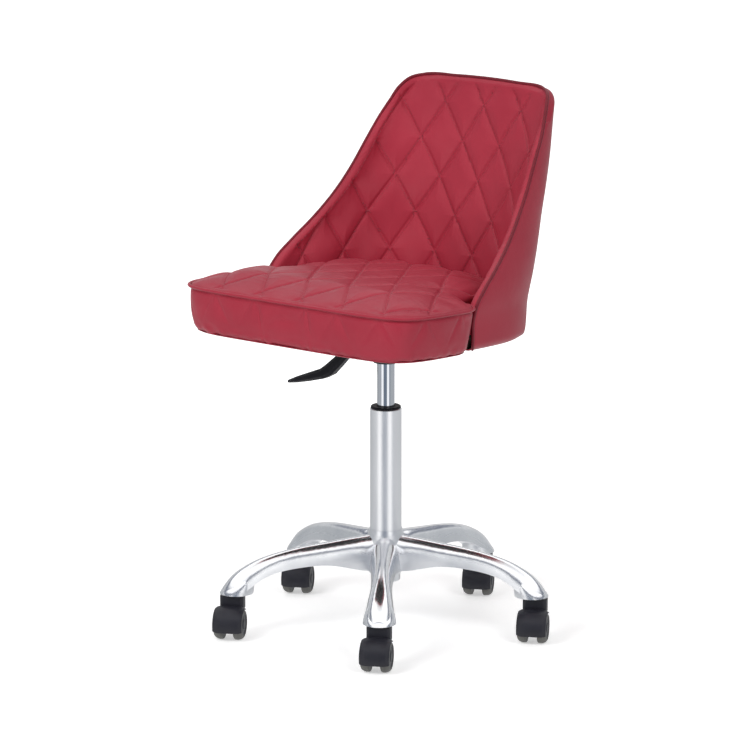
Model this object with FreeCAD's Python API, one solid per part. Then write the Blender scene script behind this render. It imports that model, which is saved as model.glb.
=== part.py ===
import FreeCAD, Part
import math
import os

from FreeCAD import Vector

os.makedirs("parts", exist_ok=True)

# Rolling stylist stool, in millimetres.
# The column axis meets the floor at the origin, +Z is up, the sitter faces -Y and +X is the sitter's left.

# ---- gas lift -------------------------------------------------------------
TUBE_R = 25.0
TUBE_WALL = 2.0
TUBE_TIP_R = 23.0
TUBE_BOTTOM = 73.7
TUBE_TAPER_TOP = 152.0
TUBE_TOP = 353.0
BUSHING_BOTTOM = 265.0
BUSHING_LIP = 3.5
CYLINDER_R = 14.0
CYLINDER_BORE_R = 12.1
CYLINDER_BOTTOM = 175.0
CYLINDER_TOP = 460.0
CYLINDER_TAPER_START = 430.0
CYLINDER_TIP_R = 13.2
PISTON_ROD_R = 5.0
PISTON_TOP = 300.0
RUNNING_FIT = 0.05

# ---- five-star base -------------------------------------------------------
STEM_RADIUS = 250.0
ARM_ANGLES = [36.0, -36.0, -108.0, 180.0, 108.0]
HUB_R = 29.0
HUB_BOTTOM = 88.0
HUB_TOP = 158.0
FOOT_BOTTOM = 69.5
# station radius, top z, underside z, half width at the top, half width at the underside
ARM_STATIONS = [
    (18.0, 150.0, 88.0, 22.0, 24.0),
    (45.0, 147.0, 97.0, 21.0, 23.5),
    (90.0, 142.0, 106.5, 17.5, 20.0),
    (140.0, 136.0, 107.0, 14.5, 17.5),
    (180.0, 128.5, 101.5, 14.0, 17.0),
    (210.0, 119.5, 91.0, 15.5, 20.0),
    (230.0, 110.0, 79.0, 17.0, 23.0),
    (245.0, 100.5, 71.5, 16.5, 24.5),
    (258.0, 88.0, 70.2, 12.0, 20.0),
    (266.0, 77.5, 69.8, 7.0, 13.0),
]
ARM_WALL = 4.0
# z, centre radius, half length along the arm, half width
FOOT_LEVELS = [
    (69.5, 243.8, 26.7, 26.0),
    (76.0, 241.0, 25.0, 25.0),
    (86.0, 235.8, 19.8, 22.0),
    (96.0, 230.0, 13.5, 17.0),
]
STEM_R = 5.5
STEM_BOTTOM = 40.5
STEM_TOP = 88.0

# ---- twin-wheel casters ---------------------------------------------------
CASTER_TRAIL = 20.0
CASTER_HEADING = -62.6
WHEEL_R = 25.0
WHEEL_RIM_R = 18.5
WHEEL_INNER_Y = 9.0
WHEEL_OUTER_Y = 23.0
AXLE_R = 4.0
HOOD_R = 28.0
HOOD_INNER_R = 25.8
# radius, half width of the hood's crowned outside and inside
HOOD_OUTSIDE = [(28.0, 9.0), (27.7, 14.0), (27.0, 18.0), (25.9, 21.0), (24.2, 23.5)]
HOOD_INSIDE = [(25.8, 13.0), (25.3, 17.5), (24.2, 20.8), (22.6, 24.0)]
NECK_TOP = 66.5

# ---- seat -----------------------------------------------------------------
SEAT_PLANE_Z = 478.1
SEAT_TILT = 2.865
BOARD_T = 12.0
SEAT_HALF_W = 231.5
SEAT_FRONT = 249.6
SEAT_CORNER_POWER = 7.35
SEAT_SIDE_END = 100.0
SEAT_SHOULDER_Y = 50.0
SEAT_SHOULDER_R = 50.0
TONGUE_HALF_W = 171.0
TONGUE_BACK = 150.5
TONGUE_POWER = 2.8
PIPING_HEIGHT = 69.6
PIPING_R = 2.6
# inset at the sides, inset at the front, inset of the rear part, height above the board's underside
CUSHION_LEVELS = [
    (14.5, 8.0, 8.0, 0.0),
    (6.0, 1.5, 4.0, 10.0),
    (0.5, -3.0, 2.0, 36.0),
    (0.0, 0.0, 0.0, 69.6),
    (9.0, 9.0, 2.0, 80.0),
    (26.0, 26.0, 10.0, 88.5),
    (60.0, 60.0, 28.0, 94.0),
]

# ---- backrest -------------------------------------------------------------
BACK_POWER = 3.25
LIP_DEPTH = 20.0
LIP_FORWARD = 5.0
COVER_T = 3.0
SHELL_T = 10.0
PAD_T = 22.0
PAD_EDGE_T = 4.0
PAD_TAPER = 90.0
PAD_POWER = 2.8
# z, front edge y, half width, rear y, share of the full layer thickness
BACK_LEVELS = [
    (455.0, -44.0, 204.5, 185.0, 1.0),
    (490.0, -44.0, 206.2, 190.5, 1.0),
    (530.0, -43.0, 207.0, 195.0, 1.0),
    (550.0, -36.5, 208.8, 199.0, 1.0),
    (570.0, -18.5, 208.6, 203.5, 1.0),
    (595.0, 15.5, 204.0, 209.5, 1.0),
    (625.0, 57.5, 195.0, 218.5, 1.0),
    (660.0, 97.4, 184.9, 231.0, 1.0),
    (700.0, 133.3, 176.4, 245.5, 1.0),
    (740.0, 162.2, 169.3, 257.0, 0.97),
    (780.0, 191.9, 161.7, 264.8, 0.88),
    (820.0, 221.0, 155.0, 269.5, 0.68),
    (855.0, 246.0, 150.0, 272.5, 0.45),
]
PAD_BOTTOM = 501.0
BACK_TOP = 843.5
BACK_CORNER_R = 40.0
BACK_TOP_HALF_W = 157.0
BACK_TOP_RISE = 5.0

# ---- seat mechanism and height lever --------------------------------------
HOUSING_BOTTOM = 443.0
SOCKET_BOTTOM = 426.5
HOUSING_X = 45.0
HOUSING_Y = 52.0
SHEET_T = 2.5
FLANGE_X = 80.0
FLANGE_Y = 95.0
BOLT_X = 62.0
BOLT_Y = 76.0
PIVOT = Vector(-34.0, 0.0, 464.0)
LEVER_R = 3.5
PIN_R = 4.0
PIN_BOTTOM = 444.0
PIN_TOP = 465.6


def save(shape, node):
    """Write one node, after checking that it is a closed, valid solid."""
    if not shape.isValid() or shape.Volume <= 0:
        print("WARNING", node, "valid", shape.isValid(), "volume", shape.Volume)
    shape.exportStep("parts/" + node + ".step")


def cylinder(radius, z0, z1, x=0.0, y=0.0):
    return Part.makeCylinder(radius, z1 - z0, Vector(x, y, z0), Vector(0, 0, 1))


def bar(p, q, radius):
    """Round bar from point p to point q."""
    return Part.makeCylinder(radius, (q - p).Length, p, q - p)


def box(x0, x1, y0, y1, z0, z1):
    return Part.makeBox(x1 - x0, y1 - y0, z1 - z0, Vector(x0, y0, z0))


def revolve(profile):
    """Solid of revolution about Z from (radius, z) points."""
    points = [Vector(r, 0, z) for r, z in profile]
    face = Part.Face(Part.makePolygon(points + [points[0]]))
    return face.revolve(Vector(0, 0, 0), Vector(0, 0, 1), 360)


def spline(points):
    curve = Part.BSplineCurve()
    curve.interpolate(points)
    return curve.toShape()


def closed_wire(segments):
    """Closed wire from point lists: two points make a line, more make a smooth curve."""
    edges = []
    for points in segments:
        if len(points) == 2:
            edges.append(Part.makeLine(points[0], points[1]))
        else:
            edges.append(spline(points))
    return Part.Wire(edges)


def loft(wires, ruled=False):
    return Part.makeLoft(wires, True, ruled)


def spread(count):
    """Values from 0 to 1, closer together at both ends."""
    return [(1 - math.cos(math.pi * i / count)) / 2 for i in range(count + 1)]


def signed_power(value, power):
    return math.copysign(abs(value) ** power, value)


def turned(shape, angle):
    """Copy of the shape, turned about the column axis."""
    copy = shape.copy()
    copy.rotate(Vector(0, 0, 0), Vector(0, 0, 1), angle)
    return copy


def on_seat_plane(shape):
    """Lift a shape drawn above z = 0 on to the tilted underside of the seat board."""
    shape.translate(Vector(0, 0, SEAT_PLANE_Z))
    shape.rotate(Vector(0, 0, SEAT_PLANE_Z), Vector(1, 0, 0), -SEAT_TILT)
    return shape


def stem_position(angle):
    a = math.radians(angle)
    return Vector(STEM_RADIUS * math.sin(a), -STEM_RADIUS * math.cos(a), 0)


# ---- five-star base -------------------------------------------------------
def arm_section(radius, top, bottom, half_top, half_bottom):
    """Domed section of an arm, in a plane square to the arm, which runs along -Y."""
    points = []
    for s in spread(16):
        t = math.pi * s
        rise = abs(math.sin(t)) ** 0.75
        half = half_bottom + (half_top - half_bottom) * rise
        points.append(Vector(half * signed_power(math.cos(t), 0.80), -radius, bottom + (top - bottom) * rise))
    return closed_wire([points, [points[-1], points[0]]])


def arm_solid():
    sections = [arm_section(*station) for station in ARM_STATIONS]
    arm = loft(sections)
    feet = []
    for z, centre, along, half in FOOT_LEVELS:
        points = []
        for i in range(25):
            t = 2 * math.pi * i / 24
            points.append(Vector(half * math.cos(t), -centre + along * math.sin(t), z))
        feet.append(closed_wire([points[:13], points[12:]]))
    arm = arm.fuse(loft(feet))
    channel = []
    for radius, top, bottom, half_top, half_bottom in ARM_STATIONS[1:6]:
        channel.append(arm_section(radius, top - ARM_WALL - 2, bottom - 6,
                                   half_top - ARM_WALL, half_bottom - ARM_WALL))
    return arm.cut(loft(channel))


def build_base():
    profile = [
        (10.0, HUB_BOTTOM), (HUB_R - 3, HUB_BOTTOM), (HUB_R, HUB_BOTTOM + 3),
        (HUB_R, HUB_TOP - 16), (HUB_R - 1.0, HUB_TOP - 7), (HUB_R - 2.5, HUB_TOP), (10.0, HUB_TOP),
    ]
    base = revolve(profile)
    arm = arm_solid()
    for angle in ARM_ANGLES:
        base = base.fuse(turned(arm, angle))
    slope = (TUBE_R - TUBE_TIP_R) / (TUBE_TAPER_TOP - TUBE_BOTTOM)
    low, high = HUB_BOTTOM - 30, HUB_TOP + 30
    bore = revolve([
        (0, low), (TUBE_TIP_R + slope * (low - TUBE_BOTTOM) + 0.02, low),
        (TUBE_TIP_R + slope * (high - TUBE_BOTTOM) + 0.02, high), (0, high),
    ])
    base = base.cut(bore)
    for angle in ARM_ANGLES:
        p = stem_position(angle)
        base = base.cut(cylinder(STEM_R, FOOT_BOTTOM - 5, STEM_TOP, p.x, p.y))
    save(base.removeSplitter(), "five_star_base")

    stems = []
    rings = []
    for angle in ARM_ANGLES:
        p = stem_position(angle)
        stem = cylinder(STEM_R, STEM_BOTTOM, STEM_TOP, p.x, p.y)
        groove = cylinder(STEM_R + 1, 80.0, 83.0, p.x, p.y)
        groove = groove.cut(cylinder(STEM_R - 0.8, 79.0, 84.0, p.x, p.y))
        stems.append(stem.cut(groove))
        ring = cylinder(STEM_R, 80.5, 82.5, p.x, p.y)
        rings.append(ring.cut(cylinder(STEM_R - 0.8, 80.0, 83.0, p.x, p.y)))
    save(Part.makeCompound(stems), "caster_stems")
    save(Part.makeCompound(rings), "stem_grip_rings")


# ---- gas lift -------------------------------------------------------------
def build_gas_lift():
    floor = TUBE_BOTTOM + 3.0
    outer = revolve([
        (0, TUBE_BOTTOM), (TUBE_TIP_R - 1, TUBE_BOTTOM), (TUBE_TIP_R, TUBE_BOTTOM + 1),
        (TUBE_R, TUBE_TAPER_TOP), (TUBE_R, TUBE_TOP - 1), (TUBE_R - 1, TUBE_TOP), (0, TUBE_TOP),
    ])
    inner = revolve([
        (0, floor), (TUBE_TIP_R - TUBE_WALL, floor), (TUBE_R - TUBE_WALL, TUBE_TAPER_TOP),
        (TUBE_R - TUBE_WALL, TUBE_TOP + 1), (0, TUBE_TOP + 1),
    ])
    tube = outer.cut(inner).cut(cylinder(PISTON_ROD_R + RUNNING_FIT, TUBE_BOTTOM - 1, floor + 1))
    save(tube, "column_outer_tube")

    lip_top = TUBE_TOP + BUSHING_LIP
    bushing = revolve([
        (CYLINDER_R + RUNNING_FIT, BUSHING_BOTTOM), (TUBE_R - TUBE_WALL, BUSHING_BOTTOM),
        (TUBE_R - TUBE_WALL, TUBE_TOP), (TUBE_R - 1.2, TUBE_TOP), (TUBE_R - 1.2, lip_top - 1),
        (TUBE_R - 2.2, lip_top), (CYLINDER_R + 1.0, lip_top), (CYLINDER_R + RUNNING_FIT, lip_top - 1),
    ])
    save(bushing, "column_bushing")

    rod = cylinder(PISTON_ROD_R, 68.0, PISTON_TOP)
    groove = cylinder(PISTON_ROD_R + 1, 70.4, 72.1).cut(cylinder(PISTON_ROD_R - 1, 70.0, 73.0))
    piston = cylinder(CYLINDER_BORE_R - RUNNING_FIT, PISTON_TOP - 12, PISTON_TOP)
    save(rod.cut(groove).fuse(piston), "piston_rod")

    washer = cylinder(10.0, 72.2, TUBE_BOTTOM).cut(cylinder(PISTON_ROD_R + 0.1, 72.0, 74.0))
    save(washer, "bottom_washer")
    clip = cylinder(8.0, 70.6, 71.9).cut(cylinder(PISTON_ROD_R - 0.95, 70.0, 73.0))
    clip = clip.cut(box(0, 10, -2.5, 2.5, 70, 73))
    save(clip, "bottom_clip")

    bearing = cylinder(13.0, floor + 0.1, floor + 6.0).cut(cylinder(PISTON_ROD_R, floor, floor + 7))
    save(bearing, "thrust_bearing")
    bumper = revolve([
        (PISTON_ROD_R, floor + 6.0), (12.0, floor + 6.0), (13.0, floor + 8.0),
        (11.0, floor + 16.0), (PISTON_ROD_R, floor + 16.0),
    ])
    save(bumper, "rubber_bumper")

    body = revolve([
        (0, CYLINDER_BOTTOM), (CYLINDER_R - 1, CYLINDER_BOTTOM), (CYLINDER_R, CYLINDER_BOTTOM + 1),
        (CYLINDER_R, CYLINDER_TAPER_START), (CYLINDER_TIP_R, CYLINDER_TOP - 1),
        (CYLINDER_TIP_R - 1, CYLINDER_TOP), (0, CYLINDER_TOP),
    ])
    body = body.cut(cylinder(CYLINDER_BORE_R, CYLINDER_BOTTOM + 12, CYLINDER_TAPER_START))
    body = body.cut(cylinder(PISTON_ROD_R + RUNNING_FIT, CYLINDER_BOTTOM - 1, CYLINDER_BOTTOM + 13))
    body = body.cut(cylinder(PIN_R + RUNNING_FIT, PIN_BOTTOM - 6, CYLINDER_TOP + 1))
    save(body, "gas_cylinder")

    pin = cylinder(PIN_R, PIN_BOTTOM, PIN_TOP)
    save(pin.makeChamfer(0.6, pin.Edges), "release_pin")


# ---- casters --------------------------------------------------------------
def wheel_axis_solid(profile):
    """Solid of revolution about the wheel axle from (radius, y) points."""
    solid = revolve(profile)
    solid.rotate(Vector(0, 0, 0), Vector(1, 0, 0), -90)
    solid.translate(Vector(CASTER_TRAIL, 0, WHEEL_R))
    return solid


def hood_solid():
    """Hood, centre web and neck, with the stem on the Z axis and the wheels trailing along +X."""
    def disc(radius, half):
        return wheel_axis_solid([(0, -half), (radius, -half), (radius, half), (0, half)])

    def crowned(levels):
        """Barrel round the axle, from its (radius, half width) levels."""
        left = [(radius, -y) for radius, y in reversed(levels)]
        return wheel_axis_solid([(0, left[0][1])] + left + levels + [(0, levels[-1][1])])

    ring = crowned(HOOD_OUTSIDE).cut(crowned(HOOD_INSIDE))
    axle_z = WHEEL_R
    reach = 60.0
    low = math.radians(-20.0)
    high = math.radians(118.0)
    centre = Vector(CASTER_TRAIL, -30, axle_z)
    sector = Part.Face(Part.makePolygon([
        centre,
        centre + Vector(reach * math.cos(low), 0, reach * math.sin(low)),
        centre + Vector(reach, 0, reach),
        centre + Vector(reach * math.cos(high), 0, reach * math.sin(high)),
        centre,
    ])).extrude(Vector(0, 60, 0))
    hood = ring.common(sector)
    neck = box(-11.5, 12.0, -19.0, 19.0, 38.0, NECK_TOP)
    neck = neck.makeFillet(6.0, [e for e in neck.Edges if abs(e.tangentAt(e.FirstParameter).z) > 0.9])
    neck = neck.cut(disc(HOOD_INNER_R, 40.0))
    neck = neck.cut(box(-20, 20, -20, 20, 30, 46.0))
    web = disc(14.0, 8.5).fuse(box(-10.5, 14.0, -8.5, 8.5, 26.0, 50.0))
    rib = disc(HOOD_R - 0.5, 8.5).common(sector)
    hood = hood.fuse([neck, web, rib])
    hood = hood.cut(cylinder(STEM_R + RUNNING_FIT, 40.0, NECK_TOP + 1))
    return hood.cut(disc(AXLE_R, 40.0))


def build_casters():
    hub = wheel_axis_solid([
        (AXLE_R + RUNNING_FIT, WHEEL_INNER_Y), (WHEEL_RIM_R, WHEEL_INNER_Y),
        (WHEEL_RIM_R, WHEEL_OUTER_Y - 1.0), (WHEEL_RIM_R - 1.5, WHEEL_OUTER_Y - 0.3),
        (14.0, WHEEL_OUTER_Y - 1.4), (8.5, WHEEL_OUTER_Y - 0.6), (7.5, WHEEL_OUTER_Y + 0.3),
        (0, WHEEL_OUTER_Y + 0.3), (0, 21.4), (AXLE_R + RUNNING_FIT, 21.4),
    ])
    tread = wheel_axis_solid([
        (WHEEL_RIM_R, WHEEL_INNER_Y), (WHEEL_R - 1.0, WHEEL_INNER_Y), (WHEEL_R, WHEEL_INNER_Y + 1.5),
        (WHEEL_R, 14.5), (WHEEL_R - 0.6, 17.5), (WHEEL_R - 1.9, 20.5), (WHEEL_R - 4.0, WHEEL_OUTER_Y - 0.4),
        (WHEEL_R - 5.0, WHEEL_OUTER_Y), (WHEEL_RIM_R, WHEEL_OUTER_Y),
    ])
    pieces = {
        "hood": hood_solid(),
        "axle": wheel_axis_solid([(0, -21.0), (AXLE_R, -21.0), (AXLE_R, 21.0), (0, 21.0)]),
        "left_hub": hub,
        "left_tread": tread,
        "right_hub": hub.mirror(Vector(0, 0, 0), Vector(0, 1, 0)),
        "right_tread": tread.mirror(Vector(0, 0, 0), Vector(0, 1, 0)),
    }
    for number, angle in enumerate(ARM_ANGLES, start=1):
        for name, piece in pieces.items():
            placed = turned(piece, CASTER_HEADING)
            placed.translate(stem_position(angle))
            save(placed, "caster_%d_%s" % (number, name))


# ---- seat -----------------------------------------------------------------
def seat_outline(side, front, rear, z):
    """Point lists of the cushion's plan outline, drawn inwards by the three insets."""
    half = SEAT_HALF_W - side
    depth = SEAT_FRONT - front
    tongue = TONGUE_HALF_W - rear
    shoulder = -SEAT_SHOULDER_Y - rear / 2
    side_end = -SEAT_SIDE_END
    limit = math.asin((-side_end / depth) ** (SEAT_CORNER_POWER / 2))
    power = 2 / SEAT_CORNER_POWER
    nose = []
    for s in spread(28):
        t = -math.pi + limit + (math.pi - 2 * limit) * s
        nose.append(Vector(half * signed_power(math.cos(t), power), depth * signed_power(math.sin(t), power), z))
    run = side_end - shoulder
    turn = min(SEAT_SHOULDER_R, half - tongue - 0.5)
    corner = []
    for i in range(9):
        t = math.pi / 2 * i / 8
        corner.append(Vector(half - turn + turn * math.cos(t), side_end - run * math.sin(t), z))
    corner[0] = nose[-1]
    back = []
    for s in spread(20):
        t = math.pi * s
        back.append(Vector(tongue * signed_power(math.cos(t), 2 / TONGUE_POWER),
                           shoulder + (TONGUE_BACK - rear - shoulder) * abs(math.sin(t)) ** (2 / TONGUE_POWER), z))
    other = [Vector(-p.x, p.y, p.z) for p in reversed(corner)]
    other[-1] = nose[0]
    return [nose, corner, [corner[-1], back[0]], back, [back[-1], other[0]], other]


def board_solid():
    """Plywood board: follows the cushion in front and fills the shell behind its front edge."""
    front = closed_wire(seat_outline(24.0, 17.0, 10.0, 0.0))
    board = Part.Face(front).extrude(Vector(0, 0, BOARD_T))
    half = BACK_LEVELS[1][2] - COVER_T - SHELL_T - 0.2
    rear = BACK_LEVELS[1][3] - COVER_T - SHELL_T - 2.0
    start = BACK_LEVELS[0][1] - 25.4
    points = []
    for s in spread(20):
        t = math.pi * s
        points.append(Vector(half * signed_power(math.cos(t), 2 / BACK_POWER),
                             start + (rear - start) * abs(math.sin(t)) ** (2 / BACK_POWER), 0))
    wing = Part.Face(closed_wire([points, [points[-1], points[0]]])).extrude(Vector(0, 0, BOARD_T))
    return board.fuse(wing).removeSplitter()


def bolt_positions():
    return [(x, y) for x in (-BOLT_X, BOLT_X) for y in (-BOLT_Y, BOLT_Y)]


def hexagon(across, z0, z1, x, y):
    radius = across / math.sqrt(3)
    points = []
    for i in range(7):
        t = math.pi / 3 * i
        points.append(Vector(x + radius * math.cos(t), y + radius * math.sin(t), z0))
    return Part.Face(Part.makePolygon(points)).extrude(Vector(0, 0, z1 - z0))


def build_seat():
    board = board_solid()
    nuts = []
    bolts = []
    washers = []
    for x, y in bolt_positions():
        nut = cylinder(4.0, 1.0, BOARD_T - 1.5, x, y).fuse(cylinder(10.0, BOARD_T - 1.5, BOARD_T, x, y))
        board = board.cut(nut).cut(cylinder(3.2, -1, 2, x, y))
        nuts.append(nut.cut(cylinder(3.0, 0, BOARD_T + 1, x, y)))
        under = -SHEET_T
        washer = cylinder(9.0, under - 1.6, under, x, y).cut(cylinder(3.0, under - 3, 1, x, y))
        washers.append(washer)
        bolts.append(hexagon(10.0, under - 5.6, under - 1.6, x, y).fuse(cylinder(3.0, under - 1.6, 10.0, x, y)))
    board = on_seat_plane(board.cut(cylinder(22.0, -1, 6.0))).cut(back_layer(-30.0, COVER_T + SHELL_T))

    cushion = loft([closed_wire(seat_outline(*level)) for level in CUSHION_LEVELS])
    cushion = cushion.cut(board_solid())
    save(on_seat_plane(cushion), "seat_cushion")
    save(board, "seat_board")
    save(on_seat_plane(Part.makeCompound(nuts)), "t_nuts")
    save(on_seat_plane(Part.makeCompound(washers)), "plate_washers")
    save(on_seat_plane(Part.makeCompound(bolts)), "plate_bolts")

    sheet = Part.Face(closed_wire(seat_outline(34.0, 27.0, 22.0, -1.5))).extrude(Vector(0, 0, 1.5))
    sheet = sheet.cut(box(-FLANGE_X - 2, FLANGE_X + 2, -FLANGE_Y - 2, FLANGE_Y + 2, -3, 1))
    save(on_seat_plane(sheet), "dust_cover")

    nose, corner, _, _, _, other = seat_outline(-PIPING_R + 1, -PIPING_R + 1, 0.0, PIPING_HEIGHT)
    save(on_seat_plane(piping(other[1:-1] + nose[::2] + corner[1:-1])), "seat_piping")


def piping(points):
    """Round welt along a line of points, with mitred bends."""
    path = Part.makePolygon(points)
    ring = Part.Wire(Part.makeCircle(PIPING_R, points[0], points[1] - points[0]))
    sweep = Part.BRepOffsetAPI.MakePipeShell(path)
    sweep.setTransitionMode(1)
    sweep.add(ring, False, False)
    sweep.build()
    sweep.makeSolid()
    return sweep.shape()


# ---- backrest -------------------------------------------------------------
def back_curve(level, depth, setback, thinning=0.0):
    """Plan curve of the backrest at one level, a given depth inside its outer face, and less by thinning at its edges."""
    z, edge, half, rear, share = level
    depth = depth * share if depth > 0 else depth
    centre = edge - LIP_DEPTH
    along = rear - depth - centre
    squareness = PAD_POWER if thinning else BACK_POWER
    start = math.asin(((LIP_DEPTH + setback) / along) ** (squareness / 2))
    power = 2 / squareness
    points = []
    for s in spread(24):
        t = start + (math.pi - 2 * start) * s
        behind = (centre + along * math.sin(t) ** power - edge) / min(PAD_TAPER, 0.55 * (rear - edge))
        behind = min(max(behind, 0.0), 1.0)
        grow = thinning * share * (1 - behind * behind * (3 - 2 * behind))
        points.append(Vector((half - depth + grow) * signed_power(math.cos(t), power),
                             centre + (along + grow) * math.sin(t) ** power, z))
    return points


def back_layer(outer, inner, setback=0.0, thinning=0.0):
    """One layer of the backrest, between two depths inside its outer face."""
    sections = []
    for level in BACK_LEVELS:
        out = back_curve(level, outer, setback)
        back = list(reversed(back_curve(level, inner, setback, thinning)))
        sections.append(closed_wire([out, [out[-1], back[0]], back, [back[-1], out[0]]]))
    return loft(sections)


def back_front_outline(inset):
    """Front view of the backrest, as a prism along Y with rounded top corners."""
    half = BACK_TOP_HALF_W - inset
    top = BACK_TOP - inset
    side = top - BACK_TOP_RISE
    r = BACK_CORNER_R - inset
    diagonal = r * (1 - math.sqrt(0.5))
    edges = [
        Part.Arc(Vector(-half, 0, side - r), Vector(-half + diagonal, 0, side - diagonal),
                 Vector(-half + r, 0, side)).toShape(),
        Part.Arc(Vector(-half + r, 0, side), Vector(0, 0, top), Vector(half - r, 0, side)).toShape(),
        Part.Arc(Vector(half - r, 0, side), Vector(half - diagonal, 0, side - diagonal),
                 Vector(half, 0, side - r)).toShape(),
        Part.makeLine(Vector(half, 0, side - r), Vector(240, 0, side - r - 90)),
        Part.makeLine(Vector(240, 0, side - r - 90), Vector(240, 0, 400)),
        Part.makeLine(Vector(240, 0, 400), Vector(-240, 0, 400)),
        Part.makeLine(Vector(-240, 0, 400), Vector(-240, 0, side - r - 90)),
        Part.makeLine(Vector(-240, 0, side - r - 90), Vector(-half, 0, side - r)),
    ]
    prism = Part.Face(Part.Wire(edges)).extrude(Vector(0, 500, 0))
    prism.translate(Vector(0, -150, 0))
    return prism


def build_back():
    """Outer cover wrapped round a moulded shell, with the inner pad's lip in front of both."""
    below = on_seat_plane(box(-300, 300, -300, 300, -80, -0.5))
    wall = COVER_T + SHELL_T
    shell_space = back_layer(COVER_T, wall, 5.0).common(back_front_outline(4.0))
    hollow = back_layer(COVER_T, wall + 6, 5.0).common(back_front_outline(4.0))
    cover = back_layer(0.0, wall - 1, 2.0).common(back_front_outline(1.0)).cut(hollow).cut(below)
    shell = shell_space.cut(below)
    pad = back_layer(0.5, wall + PAD_T, -LIP_FORWARD, PAD_T - PAD_EDGE_T).common(back_front_outline(0.0))
    pad = pad.cut(back_layer(-1.0, wall, 2.0))
    pad = pad.cut(box(-300, 300, -300, 300, 400, PAD_BOTTOM))

    shafts = []
    for x, y, dx, dy in ((1, 20, 1, 0), (1, 95, 1, 0.1), (-1, 20, -1, 0), (-1, 95, -1, 0.1)):
        start = Vector(x * 150, y, BOARD_T / 2)
        shafts.append((start, Vector(dx, dy, 0)))
    for x in (-60, 60):
        shafts.append((Vector(x, 130, BOARD_T / 2), Vector(0, 1, 0)))
    screws = []
    for start, way in shafts:
        screws.append(Part.makeCylinder(2.0, 80.0, start, way))
    screws = on_seat_plane(Part.makeCompound(screws))
    outer_limit = back_layer(-60.0, COVER_T)
    kept = []
    for screw in screws.Solids:
        kept.append(screw.cut(outer_limit))
    screws = Part.makeCompound([max(k.Solids, key=lambda s: s.Volume) for k in kept])
    for screw in screws.Solids:
        shell = shell.cut(screw)
    save(cover, "back_outer_cover")
    save(shell, "back_shell")
    save(pad, "back_inner_pad")
    save(screws, "back_screws")

    line = []
    for level in BACK_LEVELS[1:-1]:
        z, edge, half = level[:3]
        if z < BACK_TOP - BACK_TOP_RISE - BACK_CORNER_R:
            line.append(Vector(half - 1.0, edge - 1.5, z))
    line.append(Vector(154.0, 205.5, 801.0))
    line.append(Vector(147.0, 221.0, 822.0))
    line.append(Vector(136.0, 237.0, 836.0))
    line.append(Vector(118.0, 250.0, 841.5))
    line.append(Vector(60.0, 257.0, 844.0))
    left = [Vector(-p.x, p.y, p.z) for p in line]
    save(piping(left + [Vector(0, 258.5, 845.0)] + list(reversed(line))), "back_piping")


# ---- mechanism and lever --------------------------------------------------
def build_mechanism():
    flange = box(-FLANGE_X, FLANGE_X, -FLANGE_Y, FLANGE_Y, -SHEET_T, 0)
    flange = flange.makeFillet(12.0, [e for e in flange.Edges if abs(e.tangentAt(e.FirstParameter).z) > 0.9])
    for x, y in bolt_positions():
        flange = flange.cut(cylinder(3.2, -10, 10, x, y))
    flange = on_seat_plane(flange)
    under = on_seat_plane(box(-300, 300, -300, 300, -SHEET_T, 100))

    def tub(grow):
        """Tapered housing below the flange."""
        wires = []
        for spread_out, z in ((0.0, HOUSING_BOTTOM + grow), (6.0, 490.0)):
            x = HOUSING_X + spread_out - grow
            y = HOUSING_Y + spread_out - grow
            points = [Vector(-x, -y, z), Vector(x, -y, z), Vector(x, y, z), Vector(-x, y, z), Vector(-x, -y, z)]
            wires.append(Part.makePolygon(points))
        return loft(wires, True)

    housing = tub(0.0).cut(under).fuse(flange)
    housing = housing.cut(tub(SHEET_T))
    housing = housing.cut(cylinder(20.0, 400, 450))
    housing = housing.cut(box(-70, -41, -8.5, 8.5, 446.5, 471.0))
    floor = HOUSING_BOTTOM + SHEET_T
    for y0, y1 in ((-11.0, -8.0), (8.0, 11.0)):
        ear = box(PIVOT.x - 6, PIVOT.x + 6, y0, y1, floor, PIVOT.z + 5.5)
        housing = housing.fuse(ear)
    housing = housing.cut(bar(PIVOT + Vector(0, -20, 0), PIVOT + Vector(0, 20, 0), 3.0))
    save(housing.removeSplitter(), "mechanism_plate")

    socket = cylinder(20.0, SOCKET_BOTTOM, CYLINDER_TOP - 4)
    slope = (CYLINDER_R - CYLINDER_TIP_R) / (CYLINDER_TOP - 1 - CYLINDER_TAPER_START)
    high = CYLINDER_TOP
    bore = revolve([
        (0, SOCKET_BOTTOM - 1), (CYLINDER_R, SOCKET_BOTTOM - 1), (CYLINDER_R, CYLINDER_TAPER_START),
        (CYLINDER_R - slope * (high - CYLINDER_TAPER_START), high), (0, high),
    ])
    save(socket.cut(bore), "taper_socket")
    save(bar(PIVOT + Vector(0, -12.5, 0), PIVOT + Vector(0, 12.5, 0), 3.0), "lever_pivot")


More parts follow.
